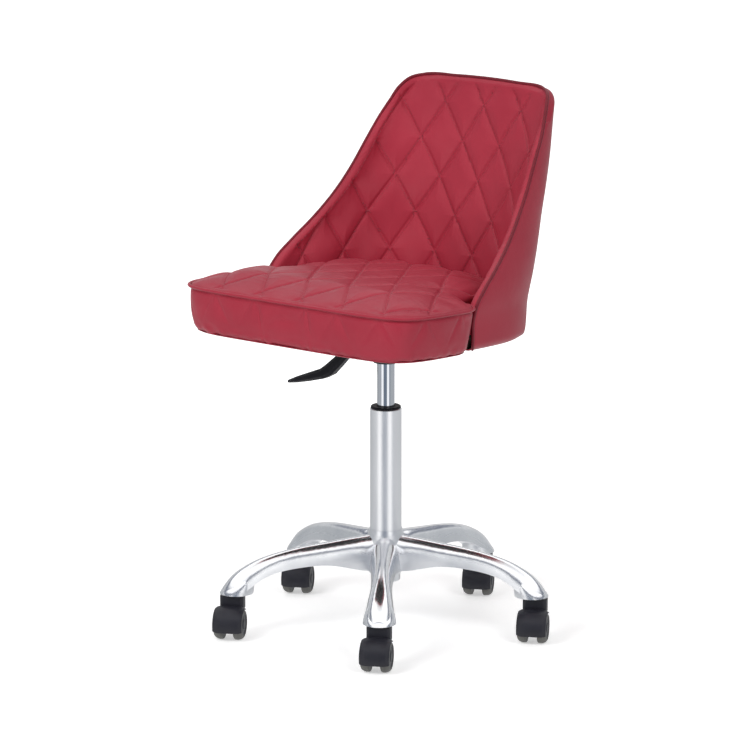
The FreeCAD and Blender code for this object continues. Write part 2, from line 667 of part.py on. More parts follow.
def build_lever():
    bends = [
        Vector(6.0, 0, 469.8), Vector(-31.0, 0, 469.8), Vector(-56.0, 0, 450.0), Vector(-92.0, 0, 417.0),
    ]
    lever = bar(bends[0], bends[1], LEVER_R)
    for p, q in zip(bends[1:], bends[2:]):
        lever = lever.fuse(bar(p, q, LEVER_R)).fuse(Part.makeSphere(LEVER_R + 0.02, p))
    eye = bar(PIVOT + Vector(0, -7.0, 0), PIVOT + Vector(0, 7.0, 0), 6.0)
    lever = lever.fuse(eye)
    lever = lever.cut(bar(PIVOT + Vector(0, -20, 0), PIVOT + Vector(0, 20, 0), 3.0 + RUNNING_FIT))
    lever = lever.removeSplitter()
    save(lever, "height_lever")

    # centre x, centre z, half width across, half thickness, slope of the section plane in degrees
    stations = [
        (-63.0, 444.0, 7.5, 6.5, -45.0),
        (-78.0, 430.5, 8.5, 7.5, -45.0),
        (-93.0, 416.0, 9.5, 8.5, -45.0),
        (-111.0, 399.5, 11.0, 9.5, -36.0),
        (-124.0, 391.5, 12.0, 8.5, -24.0),
        (-150.0, 383.0, 12.0, 7.0, -18.0),
        (-176.0, 374.8, 10.0, 5.0, -17.0),
        (-196.0, 368.5, 5.0, 2.4, -17.0),
    ]
    wires = []
    for x, z, half, thick, slope in stations:
        along = math.radians(slope)
        up = Vector(math.sin(along), 0, math.cos(along))
        points = []
        for sx, sz in ((-1, -0.45), (-0.6, -1), (0.6, -1), (1, -0.45), (1, 0.45), (0.6, 1), (-0.6, 1), (-1, 0.45)):
            points.append(Vector(x, half * sx, z) + up * (thick * sz))
        wires.append(Part.makePolygon(points + [points[0]]))
    grip = loft(wires, True).cut(bar(bends[2], bends[3], LEVER_R))
    save(grip, "lever_grip")


build_base()
build_gas_lift()
build_casters()
build_seat()
build_back()
build_mechanism()
build_lever()
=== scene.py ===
import math

import bpy
import numpy as np
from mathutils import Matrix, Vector, noise
from mathutils.bvhtree import BVHTree
from mathutils.kdtree import KDTree


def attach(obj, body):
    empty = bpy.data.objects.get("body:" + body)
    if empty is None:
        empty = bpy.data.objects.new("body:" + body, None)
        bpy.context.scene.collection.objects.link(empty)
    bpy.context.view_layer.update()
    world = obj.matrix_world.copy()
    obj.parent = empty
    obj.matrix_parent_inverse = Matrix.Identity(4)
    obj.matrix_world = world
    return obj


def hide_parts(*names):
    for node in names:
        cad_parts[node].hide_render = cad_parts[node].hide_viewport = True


# Rolling stylist stool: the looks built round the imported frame, in metres.
# The column axis meets the floor at the origin, +Z is up and the sitter faces -Y.

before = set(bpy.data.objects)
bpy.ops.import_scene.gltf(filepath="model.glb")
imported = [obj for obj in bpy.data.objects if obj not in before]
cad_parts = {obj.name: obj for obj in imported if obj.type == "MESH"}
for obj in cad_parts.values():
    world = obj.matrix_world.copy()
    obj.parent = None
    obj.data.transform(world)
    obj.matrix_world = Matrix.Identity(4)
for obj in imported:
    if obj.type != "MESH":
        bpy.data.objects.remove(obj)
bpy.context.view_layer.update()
scene = bpy.context.scene
CLOTH_STEPS = 20
scene.frame_start, scene.frame_end = 1, CLOTH_STEPS

# ---- seat and backrest shapes, as in the CAD source ------------------------
SEAT_Z = 0.4781
SEAT_TILT = math.radians(2.865)
SEAT_HALF_W, SEAT_FRONT, SEAT_POWER = 0.2315, 0.2496, 7.35
SIDE_END, SHOULDER, SHOULDER_R = -0.100, -0.050, 0.050
TONGUE_HALF_W, TONGUE_BACK, TONGUE_POWER = 0.171, 0.1505, 2.8
WELT_HEIGHT = 0.0696
WELT_R = 0.0026
BACK_POWER = 3.25
LIP = 0.020
PAD_DEPTH = 0.035
PAD_THINNING, PAD_TAPER, PAD_POWER = 0.018, 0.090, 2.8
# z, front edge y, half width, rear y, share of the full layer thickness
BACK_LEVELS = np.array([
    (0.455, -0.0440, 0.2045, 0.1850, 1.00), (0.490, -0.0440, 0.2062, 0.1905, 1.00),
    (0.530, -0.0430, 0.2070, 0.1950, 1.00), (0.550, -0.0365, 0.2088, 0.1990, 1.00),
    (0.570, -0.0185, 0.2086, 0.2035, 1.00), (0.595, 0.0155, 0.2040, 0.2095, 1.00),
    (0.625, 0.0575, 0.1950, 0.2185, 1.00), (0.660, 0.0974, 0.1849, 0.2310, 1.00),
    (0.700, 0.1333, 0.1764, 0.2455, 1.00), (0.740, 0.1622, 0.1693, 0.2570, 0.97),
    (0.780, 0.1919, 0.1617, 0.2648, 0.88), (0.820, 0.2210, 0.1550, 0.2695, 0.68),
    (0.855, 0.2460, 0.1500, 0.2725, 0.45),
])
# the backrest's welt on the sitter's left: along the front edge, then round the top corner
WELT_INSET, WELT_AHEAD = 0.0010, 0.0015
BACK_WELT = np.array(
    [(half - WELT_INSET, edge - WELT_AHEAD, z) for z, edge, half, _, _ in BACK_LEVELS[1:11]]
    + [(0.1540, 0.2055, 0.8010), (0.1470, 0.2210, 0.8220), (0.1360, 0.2370, 0.8360),
       (0.1180, 0.2500, 0.8415), (0.0600, 0.2570, 0.8440), (0.0000, 0.2585, 0.8450)])
WELT_FOOT = (0.2046, -0.0455, 0.4795)
BACK_TOP, BACK_TOP_RISE, BACK_CORNER_R, BACK_TOP_HALF_W = 0.8425, 0.005, 0.040, 0.156

# ---- upholstery detail ------------------------------------------------------
# half of a diamond's width and height, and where the pattern starts (on the back, also its lean)
SEAT_QUILT = (0.0398, 0.0647, 0.017, 0.232)
BACK_QUILT = (0.0374, 0.0602, 0.0641, 0.125)
BAND_QUILT = (0.040, 0.065)
# depth and width of a sewn groove, then depth and width of the dip that leads down to it
SEAT_SEWN = (0.0018, 0.0028, 0.0026, 0.0130)
BACK_SEWN = (0.0022, 0.0026, 0.0024, 0.0110)
BAND_SEWN = (0.0009, 0.0034, 0.0012, 0.0120)
SEAT_VOXEL, SEAT_SHRINK, SEAT_SWELL = 0.0045, 0.0022, 0.0055
BACK_VOXEL, BACK_SHRINK, BACK_SWELL = 0.0042, 0.0015, 0.0036
SEAT_THREAD_R, BACK_THREAD_R, TOPSTITCH_R, STAPLE_R = 0.00038, 0.00036, 0.00050, 0.00055
PLAIN_RIM = 0.009
COVER_SETBACK = 0.0012


# ---- small helpers ---------------------------------------------------------
def smooth_step(x, low, high):
    s = np.clip((np.asarray(x, float) - low) / (high - low), 0, 1)
    return s * s * (3 - 2 * s)


def hermite(xs, ys, x):
    """Smooth curve through (xs, ys) at x; ys may have several columns."""
    xs, ys = np.asarray(xs, float), np.asarray(ys, float)
    columns = ys.reshape(len(xs), -1)
    slopes = np.gradient(columns, xs, axis=0)
    x = np.clip(np.asarray(x, float), xs[0], xs[-1])
    i = np.clip(np.searchsorted(xs, x, side="right") - 1, 0, len(xs) - 2)
    h = (xs[i + 1] - xs[i])[..., None]
    s = ((x - xs[i]) / (xs[i + 1] - xs[i]))[..., None]
    out = ((1 + 2 * s) * (1 - s) ** 2 * columns[i] + s * (1 - s) ** 2 * h * slopes[i]
           + s * s * (3 - 2 * s) * columns[i + 1] + s * s * (s - 1) * h * slopes[i + 1])
    return out.reshape(x.shape + ys.shape[1:])


def lengths_along(points):
    steps = np.linalg.norm(np.diff(points, axis=0), axis=1)
    return np.concatenate([[0.0], np.cumsum(steps)])


def resampled(points, step):
    """The same line with evenly spaced points, rounded smoothly through its corners."""
    run = lengths_along(points)
    count = max(2, int(round(run[-1] / step)))
    return hermite(run, points, np.linspace(0, run[-1], count + 1))


def signed_power(value, power):
    return np.sign(value) * np.abs(value) ** power


def new_object(name, verts, faces, finish, body):
    mesh = bpy.data.meshes.new(name)
    mesh.from_pydata([tuple(v) for v in verts], [], faces)
    mesh.materials.append(finish)
    obj = bpy.data.objects.new(name, mesh)
    scene.collection.objects.link(obj)
    for polygon in mesh.polygons:
        polygon.use_smooth = True
    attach(obj, body)
    return obj


def grid_faces(rows, columns, closed=False, start=0):
    """Quads for rows of points; closed joins each row's end to its start."""
    faces = []
    last = columns if closed else columns - 1
    for r in range(rows - 1):
        for c in range(last):
            d = (c + 1) % columns
            faces.append((start + r * columns + c, start + r * columns + d,
                          start + (r + 1) * columns + d, start + (r + 1) * columns + c))
    return faces


def tube(points, radius, sides=12, wobble=0.0):
    """Vertices and faces of a closed round tube along a line of points."""
    points = np.asarray(points, float)
    tangents = np.gradient(points, axis=0)
    tangents /= np.linalg.norm(tangents, axis=1)[:, None]
    side = np.cross(tangents[0], (0.0, 0.0, 1.0))
    if np.linalg.norm(side) < 1e-3:
        side = np.cross(tangents[0], (0.0, 1.0, 0.0))
    verts = []
    angles = np.arange(sides) * 2 * math.pi / sides
    for i, (p, t) in enumerate(zip(points, tangents)):
        side = side - t * (side @ t)
        side /= np.linalg.norm(side)
        up = np.cross(t, side)
        r = radius * (1 + wobble * noise.noise(Vector(p * 120)))
        end = min(i, len(points) - 1 - i)
        r *= (0.55, 0.9)[end] if end < 2 else 1.0
        verts.extend(p + r * (math.cos(a) * side + math.sin(a) * up) for a in angles)
    faces = grid_faces(len(points), sides, True)
    faces.append(tuple(reversed(range(sides))))
    faces.append(tuple(range((len(points) - 1) * sides, len(points) * sides)))
    return verts, faces


def capsules(segments, radius):
    """Many short round-ended threads, from pairs of points, as one mesh."""
    verts, faces = [], []
    for p, q in segments:
        line = [p + (q - p) * s for s in (0.0, 0.2, 0.5, 0.8, 1.0)]
        start = len(verts)
        part_verts, part_faces = tube(line, radius, 6)
        verts.extend(part_verts)
        faces.extend(tuple(i + start for i in f) for f in part_faces)
    return verts, faces


def bake(obj):
    """Replace the object's mesh with what its modifiers make of it."""
    bpy.context.view_layer.update()
    shaped = obj.evaluated_get(bpy.context.evaluated_depsgraph_get())
    mesh = bpy.data.meshes.new_from_object(shaped)
    obj.modifiers.clear()
    obj.data = mesh


def vertices(obj):
    co = np.empty(len(obj.data.vertices) * 3)
    obj.data.vertices.foreach_get("co", co)
    return co.reshape(-1, 3)


def normals(obj):
    obj.data.update()
    n = np.empty(len(obj.data.vertices) * 3)
    obj.data.vertex_normals.foreach_get("vector", n)
    return n.reshape(-1, 3)


def set_vertices(obj, co):
    obj.data.vertices.foreach_set("co", np.asarray(co, np.float32).ravel())
    obj.data.update()


def remeshed(node, name, voxel, finish, body):
    """A new object with the node's shape as one even mesh of quads."""
    obj = bpy.data.objects.new(name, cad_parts[node].data.copy())
    scene.collection.objects.link(obj)
    obj.data.materials.clear()
    remesh = obj.modifiers.new("Remesh", "REMESH")
    remesh.mode = "VOXEL"
    remesh.voxel_size = voxel
    soften = obj.modifiers.new("Soften", "SMOOTH")
    soften.factor, soften.iterations = 0.5, 5
    bake(obj)
    obj.data.materials.clear()
    obj.data.materials.append(finish)
    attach(obj, body)
    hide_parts(node)
    return obj


def calmed(obj, shift, rounds):
    """The shift of each vertex averaged with its neighbours', to take out small creases."""
    pairs = np.empty(len(obj.data.edges) * 2, np.int32)
    obj.data.edges.foreach_get("vertices", pairs)
    a, b = pairs.reshape(-1, 2).T
    count = len(shift)
    around = np.maximum(np.bincount(a, minlength=count) + np.bincount(b, minlength=count), 1)
    for _ in range(rounds):
        total = np.stack([np.bincount(a, shift[b, k], count) + np.bincount(b, shift[a, k], count)
                          for k in range(3)], axis=1)
        shift = 0.5 * shift + 0.5 * total / around[:, None]
    return shift


def inflate(obj, cap, rounds, pressure=4.0):
    """Blow the closed mesh up as stuffed fabric; no point moves further than its cap."""
    rest = vertices(obj)
    group = obj.vertex_groups.new(name="held")
    fully_free = 0.003
    for weight in (0.25, 0.5, 0.75, 1.0):
        chosen = np.nonzero(cap <= (1.0 - weight) * fully_free + 1e-6)[0]
        group.add([int(i) for i in chosen], weight, "REPLACE")
    cloth = obj.modifiers.new("Cloth", "CLOTH")
    cloth.settings.quality = 4
    cloth.settings.mass = 0.3
    cloth.settings.tension_stiffness = 12
    cloth.settings.compression_stiffness = 12
    cloth.settings.bending_stiffness = 0.4
    cloth.settings.use_pressure = True
    cloth.settings.uniform_pressure_force = pressure
    cloth.settings.vertex_group_mass = "held"
    cloth.settings.effector_weights.gravity = 0
    cloth.collision_settings.use_collision = False
    cloth.point_cache.frame_end = CLOTH_STEPS
    for step in range(1, CLOTH_STEPS + 1):
        scene.frame_set(step)
    shaped = obj.evaluated_get(bpy.context.evaluated_depsgraph_get())
    moved = np.empty(len(rest) * 3)
    shaped.data.vertices.foreach_get("co", moved)
    shift = moved.reshape(-1, 3) - rest
    far = np.linalg.norm(shift, axis=1)
    shift *= (np.minimum(far, cap) / np.maximum(far, 1e-9))[:, None]
    shift = calmed(obj, shift, rounds)
    obj.modifiers.clear()
    obj.vertex_groups.clear()
    scene.frame_set(1)
    set_vertices(obj, rest + shift)


def subdivide(obj):
    subsurf = obj.modifiers.new("Subdivide", "SUBSURF")
    subsurf.levels = subsurf.render_levels = 1
    bake(obj)


def wave(points, scale, seed):
    """Smooth random values between about -1 and 1 at many points."""
    start = Vector((seed, seed * 0.7, -seed))
    return np.array([noise.noise(Vector(p) * scale + start) for p in points])


# ---- materials -------------------------------------------------------------
class Shader:
    """One procedural material: adds nodes and joins them by name."""

    def __init__(self, name, tree=None):
        if tree is None:
            self.material = bpy.data.materials.new(name)
            self.material.use_nodes = True
            tree = self.material.node_tree
        self.tree = tree
        tree.nodes.clear()

    def add(self, kind, values=(), **settings):
        made = self.tree.nodes.new(kind)
        for key, value in settings.items():
            setattr(made, key, value)
        for socket, value in dict(values).items():
            target = made.inputs[socket]
            if isinstance(value, bpy.types.NodeSocket):
                self.tree.links.new(value, target)
            else:
                target.default_value = value
        return made

    def place(self):
        return self.add("ShaderNodeTexCoord").outputs["Object"]

    def noise(self, scale, detail=2.0, where=None, rough=0.5):
        made = self.add("ShaderNodeTexNoise", {
            "Vector": where or self.place(), "Scale": scale, "Detail": detail, "Roughness": rough})
        return made.outputs["Fac"]

    def cells(self, scale):
        made = self.add("ShaderNodeTexVoronoi", {"Vector": self.place(), "Scale": scale})
        return made.outputs["Distance"]

    def stretched(self, scale):
        made = self.add("ShaderNodeMapping", {"Vector": self.place(), "Scale": scale})
        return made.outputs["Vector"]

    def math(self, operation, a, b=0.0):
        made = self.add("ShaderNodeMath", {0: a, 1: b}, operation=operation)
        return made.outputs["Value"]

    def span(self, value, low, high, out_low, out_high):
        made = self.add("ShaderNodeMapRange", {
            "Value": value, "From Min": low, "From Max": high,
            "To Min": out_low, "To Max": out_high})
        return made.outputs["Result"]

    def drift(self, value, low, high):
        """A number that follows a noise value, which mostly lies between 0.3 and 0.7."""
        return self.span(value, 0.3, 0.7, low, high)

    def tones(self, value, dark, light):
        """A colour that follows a noise value from dark to light."""
        return self.ramp(self.drift(value, 0.0, 1.0), [(0.0, dark), (1.0, light)])

    def mixed(self, amount, first, second):
        made = self.add("ShaderNodeMix", {0: amount, 6: first, 7: second}, data_type="RGBA")
        return made.outputs[2]

    def ramp(self, value, stops):
        made = self.add("ShaderNodeValToRGB", {"Fac": value})
        elements = made.color_ramp.elements
        while len(elements) < len(stops):
            elements.new(0.5)
        for element, (position, colour) in zip(elements, stops):
            element.position = position
            element.color = (*colour, 1.0)
        return made.outputs["Color"]

    def bump(self, height, strength, distance, normal=None):
        values = {"Height": height, "Strength": strength, "Distance": distance}
        if normal is not None:
            values["Normal"] = normal
        return self.add("ShaderNodeBump", values).outputs["Normal"]

    def surface(self, values):
        shader = self.add("ShaderNodeBsdfPrincipled", values)
        self.add("ShaderNodeOutputMaterial", {"Surface": shader.outputs["BSDF"]})
        return self.material


def leatherette(name, light, dark, rough=0.40):
    """Coated fabric: fine pebbled grain, soft sheen and slow changes of tone."""
    s = Shader(name)
    colour = s.tones(s.noise(7.0, 3.0), dark, light)
    pebbles = s.cells(760.0)
    creases = s.noise(420.0, 3.0, rough=0.6)
    grain = s.math("ADD", s.math("MULTIPLY", pebbles, 0.7), s.math("MULTIPLY", creases, 0.5))
    normal = s.bump(grain, 0.22, 0.00035)
    soft = s.bump(s.noise(38.0, 2.0), 0.20, 0.0020, normal)
    return s.surface({
        "Base Color": colour,
        "Roughness": s.drift(s.noise(26.0, 3.0), rough - 0.05, rough + 0.06),
        "Normal": soft, "Specular IOR Level": 0.32,
        "Sheen Weight": 0.03, "Sheen Roughness": 0.45,
    })


def metal(name, light, dark, rough, spread, scratches=0.1):
    """Plated or polished metal with a slow change of tone and fine upright polishing marks."""
    s = Shader(name)
    colour = s.tones(s.noise(14.0, 3.0), dark, light)
    marks = s.noise(1.0, 4.0, s.stretched((90.0, 90.0, 12.0)), 0.6)
    return s.surface({
        "Base Color": colour, "Metallic": 1.0,
        "Roughness": s.drift(marks, rough - spread, rough + spread),
        "Normal": s.bump(marks, scratches, 0.00015),
    })


def cast_aluminium():
    """Polished on top, duller and slightly pitted on the flanks and underneath."""
    s = Shader("cast_aluminium_polished")
    facing = s.add("ShaderNodeNewGeometry").outputs["Normal"]
    up = s.add("ShaderNodeSeparateXYZ", {"Vector": facing}).outputs["Z"]
    patch = s.noise(60.0, 4.0, rough=0.6)
    edge = s.math("ADD", up, s.drift(patch, -0.03, 0.03))
    dull = s.span(edge, 0.06, 0.36, 1.0, 0.0)
    tone = s.noise(22.0, 4.0)
    bright = s.tones(tone, (0.86, 0.87, 0.90), (0.95, 0.955, 0.97))
    flank = s.tones(tone, (0.80, 0.81, 0.83), (0.92, 0.925, 0.94))
    pits = s.noise(520.0, 3.0, rough=0.7)
    return s.surface({
        "Base Color": s.mixed(dull, bright, flank), "Metallic": 1.0,
        "Roughness": s.span(dull, 0.0, 1.0, 0.19, 0.42),
        "Normal": s.bump(pits, s.math("MULTIPLY", dull, 0.28), 0.0006),
    })


def plastic(name, light, dark, rough, texture=900.0, bump=0.15, specular=0.45):
    """Moulded plastic with a fine spark-eroded texture."""
    s = Shader(name)
    colour = s.tones(s.noise(30.0, 3.0), dark, light)
    skin = s.noise(texture, 2.0, rough=0.7)
    return s.surface({
        "Base Color": colour, "Roughness": s.drift(skin, rough - 0.06, rough + 0.08),
        "Normal": s.bump(skin, bump, 0.0003), "Specular IOR Level": specular,
    })


def woven(name, light, dark, threads):
    """Woven or bonded cloth: two crossed sets of threads."""
    s = Shader(name)
    xyz = s.add("ShaderNodeSeparateXYZ", {"Vector": s.place()})
    warp = s.math("SINE", s.math("MULTIPLY", xyz.outputs["X"], threads))
    weft = s.math("SINE", s.math("MULTIPLY", xyz.outputs["Y"], threads))
    cross = s.math("MULTIPLY", warp, weft)
    fuzz = s.noise(600.0, 3.0)
    shade = s.span(s.math("ADD", cross, fuzz), -0.5, 1.5, 0.0, 1.0)
    return s.surface({
        "Base Color": s.ramp(shade, [(0.0, dark), (1.0, light)]),
        "Roughness": s.drift(fuzz, 0.78, 0.95),
        "Normal": s.bump(cross, 0.35, 0.0003), "Sheen Weight": 0.2, "Sheen Roughness": 0.6,
    })


def plywood_finish():
    """Layered wood: the plies show at the edges, and a fine grain on the faces."""
    s = Shader("plywood_layers")
    z = s.add("ShaderNodeSeparateXYZ", {"Vector": s.place()}).outputs["Z"]
    plies = s.math("SINE", s.math("MULTIPLY", z, 2600.0))
    grain = s.noise(1.0, 5.0, s.stretched((160.0, 12.0, 400.0)), 0.6)
    mixed = s.math("ADD", s.math("MULTIPLY", plies, 0.18), grain)
    colour = s.ramp(mixed, [(0.25, (0.040, 0.026, 0.018)), (0.8, (0.095, 0.062, 0.040))])
    return s.surface({
        "Base Color": colour, "Roughness": s.drift(grain, 0.55, 0.75),
        "Normal": s.bump(grain, 0.2, 0.0004),
    })


RED = leatherette("leatherette_red", (0.400, 0.031, 0.055), (0.345, 0.023, 0.044))
# the backrest's welt: the same red leatherette at about half its colour, which is painted shade
# along the welt
RED_WELT_PAINTED_SHADE = leatherette("leatherette_welt_painted_shade", (0.185, 0.010, 0.022), (0.145, 0.008, 0.017), 0.36)
THREAD = woven("thread_red", (0.36, 0.05, 0.07), (0.22, 0.02, 0.035), 9000.0)
CHROME = metal("chrome_satin", (0.96, 0.962, 0.975), (0.92, 0.922, 0.935), 0.36, 0.03, 0.04)
CHROME_ROD = metal("chrome_bright", (0.74, 0.76, 0.80), (0.66, 0.68, 0.72), 0.07, 0.02, 0.03)
ALUMINIUM = cast_aluminium()
ZINC = metal("zinc_plated", (0.62, 0.60, 0.54), (0.50, 0.50, 0.50), 0.34, 0.06, 0.1)
POWDER = plastic("powder_coat_black", (0.030, 0.030, 0.032), (0.018, 0.018, 0.020), 0.46,
                 1400.0, 0.3)
BLACK_PLASTIC = plastic("plastic_black", (0.020, 0.020, 0.024), (0.012, 0.012, 0.015), 0.38)
HOOD_PLASTIC = plastic("plastic_charcoal", (0.022, 0.022, 0.030), (0.015, 0.015, 0.021), 0.42,
                       specular=0.36)
TREAD = plastic("tread_grey", (0.165, 0.165, 0.155), (0.120, 0.120, 0.112), 0.55, 500.0, 0.2)
GRIP_PLASTIC = plastic("plastic_grip", (0.012, 0.012, 0.016), (0.006, 0.006, 0.009), 0.44,
                       specular=0.16)
RUBBER = plastic("rubber_black", (0.025, 0.025, 0.025), (0.014, 0.014, 0.014), 0.65, 500.0, 0.25)
PLYWOOD = plywood_finish()
DUST_CLOTH = woven("bonded_cloth_black", (0.030, 0.030, 0.032), (0.010, 0.010, 0.011), 4200.0)

FINISHES = {
    "cast_aluminium": ALUMINIUM, "chrome": CHROME, "zinc_steel": ZINC, "black_steel": POWDER,
    "black_plastic": BLACK_PLASTIC, "charcoal_plastic": HOOD_PLASTIC, "grey_tread": TREAD,
    "black_rubber": RUBBER, "plywood": PLYWOOD, "red_leatherette": RED, "covered_foam": RED,
    "red_piping": RED_WELT_PAINTED_SHADE, "black_fabric": DUST_CLOTH,
}
for name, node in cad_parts.items():
    for slot in node.material_slots:
        slot.material = FINISHES[slot.material.name.split(".")[0]]
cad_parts["gas_cylinder"].material_slots[0].material = CHROME_ROD
for name in ("lever_grip", "column_bushing"):
    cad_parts[name].material_slots[0].material = GRIP_PLASTIC


# ---- seat geometry ---------------------------------------------------------
def seat_to_world(points):
    """Points drawn over the seat board's underside, put on its tilted plane."""
    x, y, z = np.asarray(points, float).T
    return np.stack([x, y * math.cos(SEAT_TILT) + z * math.sin(SEAT_TILT),
                     SEAT_Z - y * math.sin(SEAT_TILT) + z * math.cos(SEAT_TILT)], axis=1)


def world_to_seat(points):
    x, y, z = np.asarray(points, float).T
    z = z - SEAT_Z
    return np.stack([x, y * math.cos(SEAT_TILT) - z * math.sin(SEAT_TILT),
                     y * math.sin(SEAT_TILT) + z * math.cos(SEAT_TILT)], axis=1)


def seat_nose(side, front, count=160):
    """Plan outline of the cushion's exposed part, from the right round the front to the left."""
    half, depth = SEAT_HALF_W - side, SEAT_FRONT - front
    limit = math.asin((-SIDE_END / depth) ** (SEAT_POWER / 2))
    s = (1 - np.cos(np.linspace(0, math.pi, count))) / 2
    t = -math.pi + limit + (math.pi - 2 * limit) * s
    return np.stack([half * signed_power(np.cos(t), 2 / SEAT_POWER),
                     depth * signed_power(np.sin(t), 2 / SEAT_POWER)], axis=1)


def seat_shoulder(side, rear, count=12):
    """The turn from the exposed side into the backrest, on the left."""
    half, shoulder = SEAT_HALF_W - side, SHOULDER - rear / 2
    turn = min(SHOULDER_R, half - TONGUE_HALF_W + rear - 0.0005)
    t = np.linspace(0, math.pi / 2, count)
    return np.stack([half - turn + turn * np.cos(t),
                     SIDE_END - (SIDE_END - shoulder) * np.sin(t)], axis=1)


def seat_tongue(rear, count=90):
    """The part of the outline inside the backrest, from left to right."""
    half, shoulder = TONGUE_HALF_W - rear, SHOULDER - rear / 2
    t = np.linspace(0, math.pi, count)
    length = TONGUE_BACK - rear - shoulder
    return np.stack([half * signed_power(np.cos(t), 2 / TONGUE_POWER),
                     shoulder + length * np.abs(np.sin(t)) ** (2 / TONGUE_POWER)], axis=1)


def seat_loop(side, front, rear):
    shoulder = seat_shoulder(side, rear)
    mirrored = shoulder[::-1] * (-1, 1)
    return np.concatenate([seat_nose(side, front), shoulder[1:], seat_tongue(rear), mirrored[:-1]])


def outline_run(x, y):
    """Signed distance round the seat's front outline from the middle of its front edge."""
    line = seat_nose(0.0, 0.0, 600)
    run = lengths_along(line)
    run -= run[-1] / 2

    def turn(x, y):
        return np.arctan2(signed_power(y / SEAT_FRONT, SEAT_POWER / 2),
                          signed_power(x / SEAT_HALF_W, SEAT_POWER / 2))

    t = turn(x, y)
    t = np.where(t > math.pi / 2, t - 2 * math.pi, t)
    return np.interp(t, turn(*line.T), run)


def quilt(a, b, cell_a, cell_b):
    """Distances to the nearest line of each of the two crossing sets of quilting lines."""
    spacing = 2 / math.hypot(1 / cell_a, 1 / cell_b)
    out = []
    for sign in (1, -1):
        f = (a / cell_a + sign * b / cell_b) / 2
        out.append(np.abs(f - np.round(f)) * spacing)
    return out


def valley(distance, width):
    return np.exp(-(distance / width) ** 2)


def sewn(distances, depth, width, dip, dip_width):
    """Height change from two sets of sewn lines: narrow grooves in softly domed panels."""
    first, second = distances
    groove = np.maximum(valley(first, width), valley(second, width))
    dome = np.maximum(valley(first, dip_width), valley(second, dip_width))
    return -depth * groove - dip * dome


# ---- seat cushion ----------------------------------------------------------
def make_seat_cushion():
    """Crowned, quilted seat: held at the welt and under the board, free to swell between."""
    cushion = remeshed("seat_cushion", "seat_cushion_cover", SEAT_VOXEL, RED, "seat")
    local = world_to_seat(vertices(cushion))
    held = np.exp(-((local[:, 2] - WELT_HEIGHT) / 0.008) ** 2)
    inside = smooth_step(local[:, 1], 0.02, 0.08) * (local[:, 2] < 0.075)
    base = 1 - smooth_step(local[:, 2], 0.004, 0.016)
    free = np.clip(1 - np.maximum.reduce([held, inside, base]), 0, 1)
    set_vertices(cushion, vertices(cushion) - normals(cushion) * (SEAT_SHRINK * free)[:, None])
    inflate(cushion, SEAT_SWELL * free, 8)
    subdivide(cushion)

    co, n = vertices(cushion), normals(cushion)
    local = world_to_seat(co)
    x, y, h = local.T
    over_welt = h - WELT_HEIGHT
    top = smooth_step(n[:, 2], 0.45, 0.75) * smooth_step(over_welt, 0.002, 0.008)
    side = 1 - smooth_step(np.abs(n[:, 2]), 0.45, 0.8)
    cell_x, cell_y, shift_x, shift_y = SEAT_QUILT
    lines = quilt(x - shift_x, y + shift_y, cell_x, cell_y)
    change = top * sewn(lines, *SEAT_SEWN)
    nearest = np.minimum(*lines)
    pucker = np.sin(y * 520 + 3.0 * wave(co, 14.0, 3.1))
    pucker *= smooth_step(wave(co, 22.0, 7.7), -0.1, 0.5)
    change += top * 0.00025 * pucker * valley(nearest, 0.022)
    change += top * 0.0010 * wave(co, 26.0, 1.3)

    run = outline_run(x, y)
    band = side * smooth_step(h, 0.008, 0.034) * smooth_step(-over_welt, 0.002, 0.010)
    band *= 1 - smooth_step(y, -0.10, -0.06)
    strength = 0.25 + 0.75 * smooth_step(h, 0.012, 0.052)
    ridges = quilt(run - shift_x, -over_welt, *BAND_QUILT)
    change += band * strength * sewn(ridges, *BAND_SEWN)
    change += side * 0.0009 * wave(co, 30.0, 5.2)

    seam = valley(over_welt + 0.0040, 0.0030) * side
    change -= 0.0022 * seam
    hem = 1 - smooth_step(h, 0.004, 0.022)
    folds = np.sin(run * 210 + 5 * wave(co, 9.0, 2.2)) * (0.5 + 0.5 * wave(co, 17.0, 9.1))
    outer = 1 - smooth_step(y, -0.02, 0.03)
    change += outer * hem * 0.0013 * folds
    co = co + n * change[:, None]
    co[:, 2] += outer * hem * 0.0012 * wave(np.stack([run, 0 * run, 0 * run], 1), 34.0, 4.4)
    set_vertices(cushion, co)
    return cushion


def welt_line_seat():
    proud = 0.0016
    nose = seat_nose(-proud, -proud, 240)
    shoulder = seat_shoulder(-proud, 0.0)
    plan = np.concatenate([(shoulder[::-1] * (-1, 1))[1:-1], nose, shoulder[1:-1]])
    line = np.column_stack([plan, np.full(len(plan), WELT_HEIGHT)])
    return seat_to_world(resampled(line, 0.0035))


